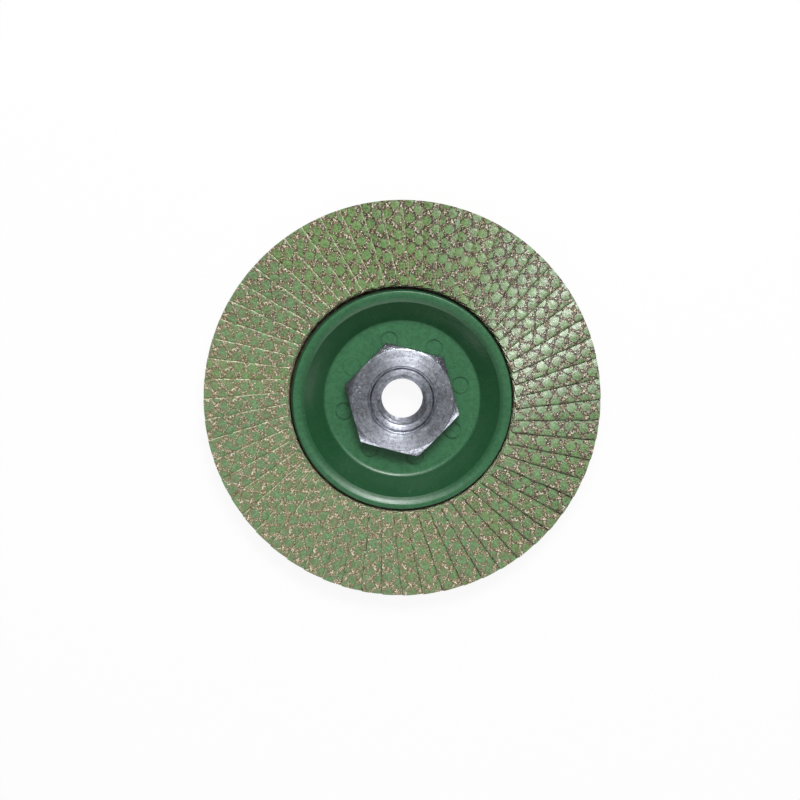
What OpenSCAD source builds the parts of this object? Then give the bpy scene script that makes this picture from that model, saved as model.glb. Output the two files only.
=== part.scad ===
// Flap disc for an angle grinder: diamond-coated cloth flaps fanned out on a moulded backing plate,
// with a threaded steel hub nut clamped through the middle of the plate.
// +Z points from the grinder towards the work. z = 0 is the face that the spindle's flange meets.

/* [Flaps] */
// Radius that the outer ends of the flaps are trimmed to
disc_r = 57.5; // [56:0.5:60]
// Number of flaps, an even number because two share a node
flap_count = 60; // [54:2:60]
// Distance from the axis to the straight inner end of a flap
flap_inner = 32; // [32:0.05:34]
// Thickness of the coated cloth
flap_t = 0.94; // [0.7:0.02:0.94]
// Distance from a flap's centre line to its free edge
flap_free = 6.2; // [5:0.1:6.5]
// Distance from a flap's centre line to its glued edge
flap_glued = 7.5; // [6:0.1:8]
// Angle at which a flap leans over the next one
flap_lean = 17.8; // [17.8:0.1:22]
// Angle at which the ring of flaps falls away towards its outer edge
ring_fall = 7; // [0:0.5:7]
// Angle of the first flap's centre line
flap_phase = 0.5; // [0:0.1:6]
// Rounding of a flap's free edge
flap_round = 0.55; // [0.2:0.05:0.65]

/* [Backing plate] */
// Outer radius of the backing plate
plate_r = 54; // [50:0.5:55]
// Outer radius of the lip that the inner ends of the flaps stand against
lip_r = 31.65; // [31.5:0.05:31.65]
// Radius at which the lip turns down into the dish
lip_inner_r = 28.25; // [27.5:0.05:28.5]
// Height of the top of the lip
lip_z = 12; // [11.5:0.1:12.5]
// Radius of the flat floor of the dish
floor_r = 22.4; // [22.3:0.1:23]
// Height of the floor of the dish
floor_z = 6; // [5.5:0.1:6.5]
// Height of the front face of the plate right beside the lip
bed_z = 6.1; // [6:0.1:6.5]
// Wall thickness of the moulding
wall = 2.3; // [2:0.1:2.5]
// Number of ribs behind the plate
rib_count = 12; // [6:1:16]
// Thickness of a rib
rib_t = 1.5; // [1:0.1:2]

/* [Ejector pin marks] */
// Number of marks on the floor of the dish
mark_count = 8; // [4:1:10]
// Radius of one mark
mark_r = 2.6; // [2:0.1:3]
// Radius of the circle that the marks stand on
mark_circle_r = 17.3; // [17:0.1:18]
// Angle of the first mark
mark_phase = 12.5; // [0:0.5:45]
// Depth of a mark
mark_depth = 0.15; // [0.1:0.05:0.3]

/* [Hub] */
// Radius of the threaded bore at its crests, the tapping size of M14 x 2
bore_r = 6; // [5.9:0.05:6.1]
// Radius at the roots of the thread
thread_root_r = 7; // [6.9:0.05:7.1]
// Width across the flats of the hexagon
hex_af = 29.6; // [29:0.1:30]
// Height of the hexagon
hex_h = 5.2; // [4:0.1:6]
// Angle of the first corner of the hexagon
hex_phase = 45.5; // [0:0.5:60]
// Width across the flats of the hexagonal shank that keys the nut to the plate
shank_af = 20; // [19:0.1:21]
// Radius of the collar that passes through the rear washer
collar_r = 8.9; // [8.7:0.05:9.2]
// Radius that the end of the collar is swaged out to
swage_r = 10.2; // [10:0.1:10.5]
// Radius of the rear washer
washer_r = 22; // [20:0.1:22]
// Thickness of the rear washer
washer_t = 2; // [1.8:0.1:2.2]

/* [Hidden] */
$fn = 96;
eps = 0.01;
pitch = 360 / flap_count;
pair_count = flap_count / 2;

// Gaps that keep touching pieces apart as solids
press_gap = 0.03;
glue_gap = 0.02;
washer_gap = 0.3;

// Moulding
slope_top_z = lip_z - 0.6;
slope_angle = atan2(slope_top_z - floor_z, lip_inner_r - floor_r);
pocket_r = washer_r + washer_gap;
boss_r = pocket_r + 2.5;
boss_z = 0.5;
hollow_r = lip_r - wall;
hollow_z = lip_z - 3.4;
rib_z = 0.8;
rib_root = 0.6;
rib_rings = [42, plate_r - rib_t];
lip_round = 1.5;
edge_round = 0.4;
dish_round = 2.5;

// Bed of adhesive
adhesive_t = 0.8;
adhesive_r = plate_r - 1.2;

// Hub nut
seat_h = 0.6;
seat_r = hex_af / 2 - 1.4;
crown_r = hex_af / 2 - 0.2;
crown_angle = 30;
recess_r = 9.6;
recess_step = 0.5;
recess_depth = 1.2;
swage_h = 1;
nut_top = floor_z + seat_h + hex_h;

// Height of the plate's front and back faces at radius r, outside the lip
function plate_front(r) = bed_z - (r - lip_r) * tan(ring_fall);
function plate_back(r) = plate_front(r) - wall;

// Radius and height along the back of the dish's sloping wall
function slope_back_r(z) = floor_r + (z - floor_z) / tan(slope_angle) + wall / sin(slope_angle);
function slope_back_z(r) = floor_z + (r - floor_r - wall / sin(slope_angle)) * tan(slope_angle);

function turned(v, a) = [v.x * cos(a) - v.y * sin(a), v.x * sin(a) + v.y * cos(a)];

// Corner p of the path a, p, b, rounded with radius r in n steps
function corner(a, p, b, r, n = 6) =
    let (
        u = (a - p) / norm(a - p),
        v = (b - p) / norm(b - p),
        half = acos(u * v) / 2,
        centre = p + (u + v) / norm(u + v) * r / sin(half),
        arm = p + u * r / tan(half) - centre,
        sweep = (2 * half - 180) * sign(cross(u, v))
    )
    [for (k = [0:n]) centre + turned(arm, sweep * k / n)];

// Outline through points [x, y, radius], rounded where the radius isn't 0
function rounded(path) = [
    for (i = [0:len(path) - 1])
        let (
            last = path[(i + len(path) - 1) % len(path)],
            here = path[i],
            next = path[(i + 1) % len(path)]
        )
        each here.z > 0
            ? corner([last.x, last.y], [here.x, here.y], [next.x, next.y], here.z)
            : [[here.x, here.y]]
];

function two_digits(i) = i < 10 ? str("0", i) : str(i);
function pair_name(i) = str("flap_pair_", two_digits(i));
PAIRS = [for (i = [1:pair_count]) pair_name(i)];

module hexagon(af, h) {
    rotate(hex_phase)
        cylinder(h = h, r = af / 2 / cos(30), $fn = 6);
}

// Half section of the moulding: boss, hollow back, bed for the flaps, lip, sloping wall and floor
module plate_section() {
    polygon(rounded([
        [0, washer_t + eps, 0],
        [pocket_r, washer_t + eps, 0],
        [pocket_r, boss_z, 0],
        [boss_r, boss_z, edge_round],
        [boss_r, slope_back_z(boss_r), edge_round],
        [slope_back_r(hollow_z), hollow_z, edge_round],
        [hollow_r, hollow_z, edge_round],
        [hollow_r, plate_back(hollow_r), edge_round],
        [plate_r, plate_back(plate_r), edge_round],
        [plate_r, plate_front(plate_r), edge_round],
        [lip_r, plate_front(lip_r), 0],
        [lip_r, lip_z, lip_round],
        [lip_inner_r, slope_top_z, edge_round],
        [floor_r, floor_z, dish_round],
        [0, floor_z, 0]
    ]));
}

// Side view of one radial rib, buried a little in the boss, the slope and the back of the plate
module rib_section() {
    polygon([
        [boss_r - rib_root, rib_z],
        [plate_r - rib_t, rib_z],
        [plate_r - rib_t, plate_back(plate_r - rib_t) + rib_root],
        [hollow_r + rib_root, plate_back(hollow_r) + rib_root],
        [hollow_r + rib_root, hollow_z + rib_root],
        [slope_back_r(hollow_z), hollow_z + rib_root],
        [boss_r - rib_root, slope_back_z(boss_r)]
    ]);
}

module ribs() {
    for (k = [0:rib_count - 1])
        rotate([90, 0, (k + 0.5) * 360 / rib_count])
            translate([0, 0, -rib_t / 2])
                linear_extrude(rib_t)
                    rib_section();
    for (r = rib_rings)
        rotate_extrude()
            translate([r - rib_t / 2, rib_z])
                square([rib_t, plate_back(r) + rib_root - rib_z]);
}

module ejector_marks() {
    for (k = [0:mark_count - 1])
        rotate(mark_phase + k * 360 / mark_count)
            translate([mark_circle_r, 0, floor_z - mark_depth])
                cylinder(h = 1, r = mark_r, $fn = 48);
}

module backing_plate() {
    color("#2f6b41")
        difference() {
            union() {
                rotate_extrude() plate_section();
                ribs();
            }
            hexagon(shank_af + 2 * press_gap, floor_z + 1);
            ejector_marks();
        }
}

// Bed of epoxy that the glued edges of the flaps stand on
module adhesive_ring() {
    inner_r = lip_r + glue_gap;
    color("#8d7443")
        rotate_extrude()
            polygon([
                [inner_r, plate_front(inner_r) + glue_gap],
                [adhesive_r, plate_front(adhesive_r) + glue_gap],
                [adhesive_r, plate_front(adhesive_r) + adhesive_t],
                [inner_r, plate_front(inner_r) + adhesive_t]
            ]);
}

// Hexagon whose corners are turned down by a cone
module crowned_hexagon() {
    blank_r = hex_af / 2 / cos(30) + 1;
    drop = (blank_r - crown_r) * tan(crown_angle);
    intersection() {
        hexagon(hex_af, hex_h);
        union() {
            cylinder(h = hex_h - drop + eps, r = blank_r);
            translate([0, 0, hex_h - drop])
                cylinder(h = drop, r1 = blank_r, r2 = crown_r);
        }
    }
}

// What is bored out of the hub: the tapping hole, its lead-in chamfers and the stepped recess in front
module hub_bore() {
    lead = thread_root_r - bore_r;
    rotate_extrude()
        polygon([
            [0, -lead],
            [thread_root_r + lead, -lead],
            [bore_r, lead],
            [bore_r, nut_top - recess_depth - lead],
            [thread_root_r, nut_top - recess_depth],
            [recess_r, nut_top - recess_step],
            [recess_r, nut_top + 1],
            [0, nut_top + 1]
        ]);
}

module hub_nut() {
    color("silver")
        difference() {
            union() {
                translate([0, 0, floor_z + seat_h])
                    crowned_hexagon();
                translate([0, 0, floor_z])
                    cylinder(h = seat_h + eps, r = seat_r);
                translate([0, 0, washer_t])
                    hexagon(shank_af, floor_z - washer_t + eps);
                cylinder(h = washer_t + eps, r = collar_r);
                cylinder(h = swage_h, r1 = swage_r, r2 = collar_r);
            }
            hub_bore();
        }
}

// Steel ring behind the plate, countersunk for the swaged end of the hub
module clamp_washer() {
    hole_r = collar_r + press_gap;
    color("silver")
        rotate_extrude()
            polygon(rounded([
                [swage_r + press_gap, 0, 0],
                [washer_r, 0, edge_round],
                [washer_r, washer_t, edge_round],
                [hole_r, washer_t, 0],
                [hole_r, swage_h, 0]
            ]));
}

// Cross-section of a flap, its glued edge at the origin and its free edge leaning up and out
module flap_section() {
    width = (flap_free + flap_glued) / cos(flap_lean);
    mirror([1, 0])
        rotate(flap_lean)
            polygon(rounded([
                [0, 0, 0],
                [width, 0, 0],
                [width, flap_t, flap_round],
                [0, flap_t, 0]
            ]));
}

// One flap along +X, standing on the adhesive beside the lip and trimmed to the outer circle
module flap() {
    intersection() {
        translate([lip_r, flap_glued, plate_front(lip_r) + adhesive_t + glue_gap])
            rotate([0, ring_fall, 0])
                translate([flap_inner - lip_r, 0, 0])
                    rotate([90, 0, 90])
                        linear_extrude(disc_r - flap_inner + 1)
                            flap_section();
        cylinder(h = 2 * lip_z, r = disc_r, $fn = 180);
    }
}

// Two neighbouring flaps, each a solid of its own
module flap_pair(i) {
    color(i % 2 == 0 ? "#7f8c69" : "#87946f")
        for (k = [0, 1])
            rotate(flap_phase + (2 * (i - 1) + k) * pitch)
                flap();
}

backing_plate();
adhesive_ring();
hub_nut();
clamp_washer();
for (i = [1:pair_count])
    flap_pair(i);
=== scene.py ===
"""Flap disc for an angle grinder: diamond cloth flaps on a dished backing plate with a threaded steel hub."""

import math

import bmesh
import bpy
import numpy as np
from bpy.props import FloatProperty, FloatVectorProperty, IntProperty, PointerProperty
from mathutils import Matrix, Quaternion, Vector


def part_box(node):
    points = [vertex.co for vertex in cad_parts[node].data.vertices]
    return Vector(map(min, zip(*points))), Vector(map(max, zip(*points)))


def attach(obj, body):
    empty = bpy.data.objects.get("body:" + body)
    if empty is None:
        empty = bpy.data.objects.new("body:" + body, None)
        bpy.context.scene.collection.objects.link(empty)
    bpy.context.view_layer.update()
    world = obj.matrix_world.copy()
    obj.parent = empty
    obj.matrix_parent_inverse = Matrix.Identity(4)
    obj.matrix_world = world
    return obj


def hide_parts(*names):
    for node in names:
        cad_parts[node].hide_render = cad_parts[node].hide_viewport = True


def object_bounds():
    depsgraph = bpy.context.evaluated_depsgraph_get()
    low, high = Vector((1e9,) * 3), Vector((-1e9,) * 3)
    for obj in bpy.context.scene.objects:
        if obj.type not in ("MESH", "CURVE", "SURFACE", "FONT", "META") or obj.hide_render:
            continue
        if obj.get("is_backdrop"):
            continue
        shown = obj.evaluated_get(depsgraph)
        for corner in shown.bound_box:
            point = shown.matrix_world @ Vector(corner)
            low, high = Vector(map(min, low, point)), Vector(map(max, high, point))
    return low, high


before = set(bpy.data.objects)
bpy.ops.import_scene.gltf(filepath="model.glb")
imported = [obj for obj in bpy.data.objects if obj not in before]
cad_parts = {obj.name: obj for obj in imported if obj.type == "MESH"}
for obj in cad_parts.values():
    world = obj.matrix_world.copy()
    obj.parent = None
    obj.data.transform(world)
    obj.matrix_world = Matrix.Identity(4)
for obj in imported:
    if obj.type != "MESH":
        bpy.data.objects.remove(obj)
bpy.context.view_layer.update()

bl_info = {
    "name": "Flap disc",
    "version": (1, 0, 0),
    "blender": (4, 5, 0),
    "location": "3D View > Sidebar > Flap disc",
    "description": "Builds a diamond flap disc with a threaded hub, piece by piece",
    "category": "Add Mesh",
}

MM = 0.001
TURN = 2 * math.pi
UP = Vector((0, 0, 1))
MERGE = 1e-6  # points closer than this are one point

# The ledge under the lip and the flaps' inner ends, which differ a little round the disc
LEDGE_MEAN = 0.155 * MM
LEDGE_SWING = 0.125 * MM
LEDGE_TURN = -0.35  # where the ledge is narrowest and the flaps start closest
LATE_TURN = 2.2  # where the flaps start furthest from the lip
LATE_START = 0.38 * MM
EARLY_START = 0.25 * MM

# The back of the moulding
BOSS_WALL = 2.8 * MM  # from the washer's rim to the outside of the boss round it
HOLLOW_DROP = 3.4 * MM  # from the top of the lip down to the hollow behind it
RIB_Z = 0.8 * MM
RIB_ROOT = 0.6 * MM  # how far a rib reaches into the moulding


# Sizes and colours ---------------------------------------------------------------------------------


def length(name, description, default, **options):
    """A size in metres, given here in millimetres."""
    return FloatProperty(
        name=name, description=description, default=default * MM, unit="LENGTH", precision=5, **options
    )


def angle(name, description, default):
    """An angle in radians, given here in degrees."""
    return FloatProperty(name=name, description=description, default=math.radians(default), subtype="ANGLE")


def power(name, description, default):
    """A lamp's power in watts."""
    return FloatProperty(name=name, description=description, default=default, unit="POWER")


def colour(name, description, default):
    """A linear colour."""
    return FloatVectorProperty(
        name=name, description=description, default=default, subtype="COLOR", size=3, min=0, max=1
    )


class FlapSizes(bpy.types.PropertyGroup):
    """Shape of the flaps and how they are fanned out."""

    count: IntProperty(name="Flaps", description="Number of flaps round the disc", default=60)
    disc_r: length("Disc radius", "Radius that the outer ends are trimmed to", 57.5)
    inner: length("Inner end", "Distance from the axis to a flap's inner end", 32)
    free: length("Free side", "Distance from a flap's centre line to its free edge", 6.2)
    glued: length("Glued side", "Distance from a flap's centre line to its glued edge", 7.5)
    root_r: length("Root radius", "Radius of the lip that the flaps start from", 31.65)
    root_z: length("Root height", "Height of the glued edge beside the lip", 6.92)
    lean: angle("Lean", "Angle at which a flap leans over the next one", 17.8)
    fall: angle("Fall", "Angle at which the ring falls away outwards", 7)
    phase: angle("Phase", "Angle of the first flap's centre line", 0.5)
    thickness: length("Thickness", "Thickness of the cloth under the grit", 0.62)
    droop_inner: length("Inner droop", "How far the free edge hangs at the inner end", 0.2)
    droop_outer: length("Outer droop", "How far the free edge hangs at the outer end", 0.72)
    bend_inner: length("Inner bend", "Width of the drooping strip at the inner end", 3)
    bend_outer: length("Outer bend", "Width of the drooping strip at the outer end", 5.2)
    edge_round: length("Edge rounding", "Rounding of the free edge", 0.16)
    step: length("Mesh step", "Spacing of the mesh on the grinding face", 0.29)


class ClothPattern(bpy.types.PropertyGroup):
    """Pattern of smooth dots in the diamond grit."""

    pitch: length("Dot pitch", "Spacing of the dots along a flap", 4.43)
    row: length("Row spacing", "Spacing of the rows of dots", 2.6)
    dot_r: length("Dot radius", "Radius of a smooth dot", 1.4)
    grit: length("Grit size", "Width of one grain of grit", 0.31)
    relief: length("Grit height", "How far the grit stands above the dots", 0.1)
    dot_green: colour("Dot green", "Cool green of the resin dots", (0.125, 0.242, 0.12))
    dot_yellow: colour("Dot yellow-green", "Warm green of the resin dots", (0.16, 0.27, 0.085))
    resin: colour("Resin", "Resin between the grains", (0.05, 0.048, 0.022))
    edge: colour("Cut edge", "Threads along a cut edge", (0.72, 0.67, 0.5))
    backing: colour("Backing cloth", "Woven back of a flap", (0.33, 0.27, 0.15))


class PlateSizes(bpy.types.PropertyGroup):
    """Shape of the backing plate."""

    plate_r: length("Plate radius", "Outer radius", 54)
    lip_r: length("Lip radius", "Outer radius of the lip", 31.65)
    lip_inner_r: length("Lip inner radius", "Radius at which the lip turns down", 28.25)
    lip_z: length("Lip height", "Height of the top of the lip", 12)
    floor_r: length("Floor radius", "Radius of the floor of the dish", 22.4)
    floor_z: length("Floor height", "Height of the floor of the dish", 6)
    bed_z: length("Bed height", "Height of the front face beside the lip", 6.1)
    wall: length("Wall", "Wall thickness of the moulding", 2.3)
    ribs: IntProperty(name="Ribs", description="Number of radial ribs behind the plate", default=12)
    rib_t: length("Rib thickness", "Thickness of a rib", 1.5)
    marks: IntProperty(name="Marks", description="Number of ejector pin marks", default=8)
    mark_r: length("Mark radius", "Radius of an ejector pin mark", 2.6)
    mark_circle_r: length("Mark circle", "Radius of the circle of marks", 17.3)
    mark_phase: angle("Mark phase", "Angle of the first mark", 12.5)
    green: colour("Plastic", "Green of the moulding", (0.018, 0.085, 0.032))
    # Painted light: level faces take this paler green and slopes keep the darker green, as painted light and
    # shade
    level_light_green: colour("Level light", "Paler green of the faces that lie level", (0.044, 0.169, 0.073))
    # Painted shade: the adhesive is this dark so that the gap between the lip and the flaps, where it shows,
    # reads as shade
    glue_and_gap_shade: colour("Adhesive", "Dark amber of the cured adhesive", (0.06, 0.035, 0.015))


class HubSizes(bpy.types.PropertyGroup):
    """Shape of the hub nut and the rear washer."""

    bore_r: length("Thread crest radius", "Radius of the thread's crests", 6)
    root_r: length("Thread root radius", "Radius of the thread's roots", 7)
    thread_pitch: length("Thread pitch", "Advance of the thread in one turn", 2)
    hex_af: length("Across flats", "Width of the hexagon across its flats", 29.6)
    hex_phase: angle("Hexagon phase", "Angle of the first corner", 45.5)
    corner_round: length("Corner rounding", "Rounding of the hexagon's corners", 0.35)
    seat_r: length("Seat radius", "Radius of the washer face under the hexagon", 13.4)
    seat_h: length("Seat height", "Height of the washer face", 0.6)
    hex_h: length("Hexagon height", "Height of the hexagon", 5.2)
    recess_r: length("Recess radius", "Radius of the mouth of the stepped recess in front", 9.92)
    recess_step: length("Recess step", "Depth of the step at its edge", 0.5)
    shank_af: length("Shank across flats", "Width of the keyed shank", 20)
    collar_r: length("Collar radius", "Radius of the collar in the washer", 8.9)
    swage_r: length("Swage radius", "Radius of the swaged rear end", 10.2)
    washer_r: length("Washer radius", "Radius of the rear washer", 22)
    washer_t: length("Washer thickness", "Thickness of the rear washer", 2)
    steel: colour("Steel", "Bright zinc plating", (0.48, 0.502, 0.56))
    dull: colour("Dull steel", "Dull patches in the plating", (0.11, 0.115, 0.145))


class StageSettings(bpy.types.PropertyGroup):
    """Camera, floor and lights."""

    distance: length("Camera distance", "Distance from the disc to the camera", 650)
    tilt: angle("Camera tilt", "Tilt of the camera away from the disc's axis", 5)
    width: length("View width", "Width of the view at the disc", 232.4)
    aim_x: length("Aim right", "Where the camera aims, to the right of the axis", -0.6)
    aim_y: length("Aim up", "Where the camera aims, above the axis", -0.43)
    key_power: power("Key light", "Power of the large softbox", 3.6)
    core_power: power("Key core", "Power of the bright middle of the softbox", 3.2)
    fill_power: power("Fill light", "Power of the small softbox", 0.5)
    card_power: power("Card", "Power of the low card that only shows in gloss", 5.4)
    overhead: FloatProperty(name="Overhead", description="Strength of the studio above", default=0.33)
    walls: FloatProperty(name="Walls", description="Strength of the studio round the object", default=0.03)
    floor_glow: FloatProperty(
        name="Floor glow", description="Share of plain white in the floor", default=0.92
    )


GROUPS = {
    "flap_sizes": FlapSizes,
    "cloth_pattern": ClothPattern,
    "plate_sizes": PlateSizes,
    "hub_sizes": HubSizes,
    "stage_settings": StageSettings,
}


# Meshes --------------------------------------------------------------------------------------------


def make_piece(name, verts, faces, materials, face_material=None, smooth_angle=35):
    """A new object from a vertex array and a list of faces, smooth except over sharp edges."""
    mesh = bpy.data.meshes.new(name)
    mesh.from_pydata([tuple(v) for v in verts], [], faces)
    mesh.validate()
    for material in materials:
        mesh.materials.append(material)
    if face_material is not None:
        mesh.polygons.foreach_set("material_index", face_material)
    mesh.shade_smooth()
    mesh.set_sharp_from_angle(angle=math.radians(smooth_angle))
    piece = bpy.data.objects.new(name, mesh)
    bpy.context.scene.collection.objects.link(piece)
    return piece


def settle(piece, slot, *nodes):
    """Fixes a finished piece to the frame and hides the solids that it stands for; slot is not used."""
    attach(piece, "root")
    if nodes:
        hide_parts(*nodes)


def corner_arc(before, point, after, radius, steps):
    """Points of the arc that rounds the corner at point."""
    u = (before - point) / np.linalg.norm(before - point)
    v = (after - point) / np.linalg.norm(after - point)
    half = math.acos(float(np.clip(u @ v, -1, 1))) / 2
    centre = point + (u + v) / np.linalg.norm(u + v) * radius / math.sin(half)
    arm = point + u * radius / math.tan(half) - centre
    sweep = (2 * half - math.pi) * np.sign(u[0] * v[1] - u[1] * v[0])
    turns = np.linspace(0, sweep, steps + 1)
    x = arm[0] * np.cos(turns) - arm[1] * np.sin(turns)
    y = arm[0] * np.sin(turns) + arm[1] * np.cos(turns)
    return np.stack([centre[0] + x, centre[1] + y], 1)


def rounded(path, steps=6, closed=True):
    """Outline through (r, z, rounding) points, in metres, with an arc at each rounded corner."""
    out = []
    for i, (r, z, radius) in enumerate(path):
        here = np.array([r, z])
        end = not closed and i in (0, len(path) - 1)
        if radius <= 0 or end:
            out.append(here[None])
            continue
        before = np.array(path[i - 1][:2])
        after = np.array(path[(i + 1) % len(path)][:2])
        out.append(corner_arc(before, here, after, radius, steps))
    return np.concatenate(out)


def ring_of(profile, angles):
    """Vertices and quads of a closed (r, z) profile, or one for each angle, swept round the axis."""
    profile = np.broadcast_to(profile, (len(angles),) + np.shape(profile)[-2:])
    r, z = profile[..., 0], profile[..., 1]
    turn = angles[:, None]
    verts = np.stack([r * np.cos(turn), r * np.sin(turn), z], -1).reshape(-1, 3)
    n, m = r.shape
    i, j = np.meshgrid(np.arange(n), np.arange(m), indexing="ij")
    a, b = (i + 1) % n, (j + 1) % m
    quads = np.stack([i * m + j, a * m + j, a * m + b, i * m + b], -1).reshape(-1, 4)
    return verts, quads.tolist()


def even_angles(count):
    """This many angles, evenly spread over a full turn."""
    return np.arange(count) * TURN / count


def boolean(piece, tool, operation):
    """Joins tool to piece, or cuts it away, and removes the tool."""
    modifier = piece.modifiers.new(operation.lower(), "BOOLEAN")
    modifier.operation = operation
    modifier.solver = "MANIFOLD"
    modifier.object = tool
    bpy.context.view_layer.objects.active = piece
    bpy.ops.object.modifier_apply(modifier=modifier.name)
    mesh = tool.data
    bpy.data.objects.remove(tool)
    bpy.data.meshes.remove(mesh)


def split_and_clean(piece):
    """Splits faces with many sides into triangles, and dissolves those that have no area."""
    mesh = bmesh.new()
    mesh.from_mesh(piece.data)
    bmesh.ops.remove_doubles(mesh, verts=mesh.verts, dist=MERGE)
    bmesh.ops.triangulate(mesh, faces=[face for face in mesh.faces if len(face.verts) > 4])
    bmesh.ops.dissolve_degenerate(mesh, edges=mesh.edges, dist=MERGE)
    mesh.to_mesh(piece.data)
    mesh.free()


# Shader nodes --------------------------------------------------------------------------------------


def put(tree, kind, inputs=None, **settings):
    """A new node. An input is either another node's socket, which is linked, or a plain value."""
    node = tree.nodes.new(kind)
    for key, value in settings.items():
        setattr(node, key, value)
    for key, value in (inputs or {}).items():
        if isinstance(value, bpy.types.NodeSocket):
            tree.links.new(value, node.inputs[key])
        else:
            node.inputs[key].default_value = value
    return node


def calc(tree, operation, a, b=0.0, clamp=False):
    """A Math node's result."""
    return put(tree, "ShaderNodeMath", {0: a, 1: b}, operation=operation, use_clamp=clamp).outputs[0]


def vector_calc(tree, operation, a, b=(0, 0, 0)):
    """A Vector Math node's result."""
    return put(tree, "ShaderNodeVectorMath", {0: a, 1: b}, operation=operation).outputs["Vector"]


def fade(tree, value, low, high, to_low=0.0, to_high=1.0, smooth=True):
    """value carried from low..high to to_low..to_high."""
    inputs = {"Value": value, "From Min": low, "From Max": high, "To Min": to_low, "To Max": to_high}
    kind = "SMOOTHSTEP" if smooth else "LINEAR"
    return put(tree, "ShaderNodeMapRange", inputs, interpolation_type=kind).outputs["Result"]


def blend_colours(tree, factor, a, b, mode="MIX"):
    """Colour a turning to colour b."""
    node = put(tree, "ShaderNodeMix", data_type="RGBA", blend_type=mode)
    for index, value in ((0, factor), (6, a), (7, b)):
        if isinstance(value, bpy.types.NodeSocket):
            tree.links.new(value, node.inputs[index])
        else:
            node.inputs[index].default_value = value
    return node.outputs[2]


def ramp(tree, factor, stops, interpolation="LINEAR"):
    """A Color Ramp through (position, colour) stops."""
    node = put(tree, "ShaderNodeValToRGB", {"Fac": factor})
    node.color_ramp.interpolation = interpolation
    elements = node.color_ramp.elements
    while len(elements) < len(stops):
        elements.new(0.5)
    for element, (position, shade) in zip(elements, stops):
        element.position = position
        element.color = (*shade, 1)
    return node.outputs["Color"]


def rgba(shade):
    """A colour with full alpha."""
    return (*shade, 1)


def tinted(shade, factor):
    """A colour made lighter or darker."""
    return tuple(min(1, c * factor) for c in shade)


def new_group(name, inputs, outputs):
    """An empty node group with named sockets: (tree, input node, output node)."""
    tree = bpy.data.node_groups.new(name, "ShaderNodeTree")
    for title, kind, value in inputs:
        socket = tree.interface.new_socket(title, in_out="INPUT", socket_type=kind)
        if value is not None:
            socket.default_value = value
    for title, kind in outputs:
        tree.interface.new_socket(title, in_out="OUTPUT", socket_type=kind)
    return tree, tree.nodes.new("NodeGroupInput"), tree.nodes.new("NodeGroupOutput")


def speckle_group():
    """Small grains and broad clouds of a second colour."""
    name = "Speckle"
    if name in bpy.data.node_groups:
        return bpy.data.node_groups[name]
    sockets = [
        ("Vector", "NodeSocketVector", None),
        ("Scale", "NodeSocketFloat", 1000.0),
        ("Amount", "NodeSocketFloat", 0.5),
        ("Colour", "NodeSocketColor", (0.5, 0.5, 0.5, 1)),
        ("Second Colour", "NodeSocketColor", (0.1, 0.1, 0.1, 1)),
    ]
    made = [("Colour", "NodeSocketColor"), ("Mask", "NodeSocketFloat")]
    tree, start, end = new_group(name, sockets, made)
    place = start.outputs["Vector"]
    fine = put(tree, "ShaderNodeTexNoise", {"Vector": place, "Scale": start.outputs["Scale"], "Detail": 3.0})
    wide_scale = calc(tree, "MULTIPLY", start.outputs["Scale"], 0.3)
    wide = put(tree, "ShaderNodeTexNoise", {"Vector": place, "Scale": wide_scale, "Detail": 4.0})
    both = calc(tree, "MULTIPLY", fine.outputs["Fac"], wide.outputs["Fac"])
    mask = fade(tree, both, 0.17, 0.35)
    amount = calc(tree, "MULTIPLY", mask, start.outputs["Amount"])
    mixed = blend_colours(tree, amount, start.outputs["Colour"], start.outputs["Second Colour"])
    tree.links.new(mixed, end.inputs["Colour"])
    tree.links.new(mask, end.inputs["Mask"])
    return tree


def scratch_group():
    """Sparse fine hairline scratches, as a mask."""
    name = "Hairline scratches"
    if name in bpy.data.node_groups:
        return bpy.data.node_groups[name]
    sockets = [
        ("Vector", "NodeSocketVector", None),
        ("Scale", "NodeSocketFloat", 120.0),
        ("Width", "NodeSocketFloat", 0.02),
    ]
    tree, start, end = new_group(name, sockets, [("Mask", "NodeSocketFloat")])
    bend = put(tree, "ShaderNodeTexNoise", {"Vector": start.outputs["Vector"], "Scale": 60.0, "Detail": 1.0})
    bent = put(
        tree,
        "ShaderNodeVectorMath",
        {0: bend.outputs["Color"], 1: (0.004, 0.004, 0.004), 2: start.outputs["Vector"]},
        operation="MULTIPLY_ADD",
    )
    cells = put(
        tree,
        "ShaderNodeTexVoronoi",
        {"Vector": bent.outputs["Vector"], "Scale": start.outputs["Scale"]},
        feature="DISTANCE_TO_EDGE",
    )
    thin = put(
        tree,
        "ShaderNodeMapRange",
        {"Value": cells.outputs["Distance"], "From Min": start.outputs["Width"], "From Max": 0.0},
    )
    patches = put(
        tree, "ShaderNodeTexNoise", {"Vector": start.outputs["Vector"], "Scale": 210.0, "Detail": 2.0}
    )
    where = fade(tree, patches.outputs["Fac"], 0.56, 0.66)
    mask = calc(tree, "MULTIPLY", thin.outputs["Result"], where)
    tree.links.new(mask, end.inputs["Mask"])
    return tree


def use_group(tree, group, inputs):
    """A node for a group, with its inputs linked or set."""
    node = put(tree, "ShaderNodeGroup", node_tree=group)
    for key, value in inputs.items():
        if isinstance(value, bpy.types.NodeSocket):
            tree.links.new(value, node.inputs[key])
        else:
            node.inputs[key].default_value = value
    return node


def new_material(name, settings=None):
    """A material with one Principled shader: (material, tree, shader)."""
    material = bpy.data.materials.new(name)
    material.use_nodes = True
    tree = material.node_tree
    shader = tree.nodes["Principled BSDF"]
    for key, value in (settings or {}).items():
        shader.inputs[key].default_value = value
    return material, tree, shader


def object_place(tree):
    """The place of a shaded point on its object, in metres."""
    return put(tree, "ShaderNodeTexCoord").outputs["Object"]


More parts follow.
